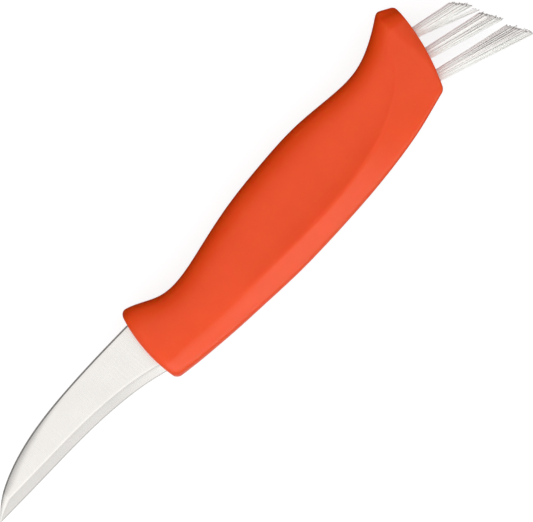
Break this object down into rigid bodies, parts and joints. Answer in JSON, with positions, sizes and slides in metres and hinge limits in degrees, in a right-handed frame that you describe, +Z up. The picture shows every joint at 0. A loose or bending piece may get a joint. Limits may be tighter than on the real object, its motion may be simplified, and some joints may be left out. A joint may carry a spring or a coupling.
{
  "type": "mushroom knife",
  "caption": "Foraging knife: short hooked steel blade in a moulded orange grip with a raised guard and horn, and bristle tufts in the butt for cleaning mushrooms.",
  "frame": {"origin": "on the table, under the middle of the knife's box as it lies on its side", "axes": "+X from the blade's tip to the brush, +Y to the back of the knife, +Z up through the flat of the blade"},
  "size_m": [0.1954, 0.0366, 0.0187],
  "materials": {
    "blade_steel": "satin ground",
    "grip_plastic": "fine matt grain",
    "bristles": "translucent nylon",
    "staple_wire": "drawn"
  },
  "bodies": {
    "root": {"blade": "blade_steel", "handle": "grip_plastic", "upper_tuft": "bristles", "middle_tuft": "bristles", "lower_tuft": "bristles", "upper_tuft_staple": "staple_wire", "middle_tuft_staple": "staple_wire", "lower_tuft_staple": "staple_wire"}
  },
  "joints": []
}
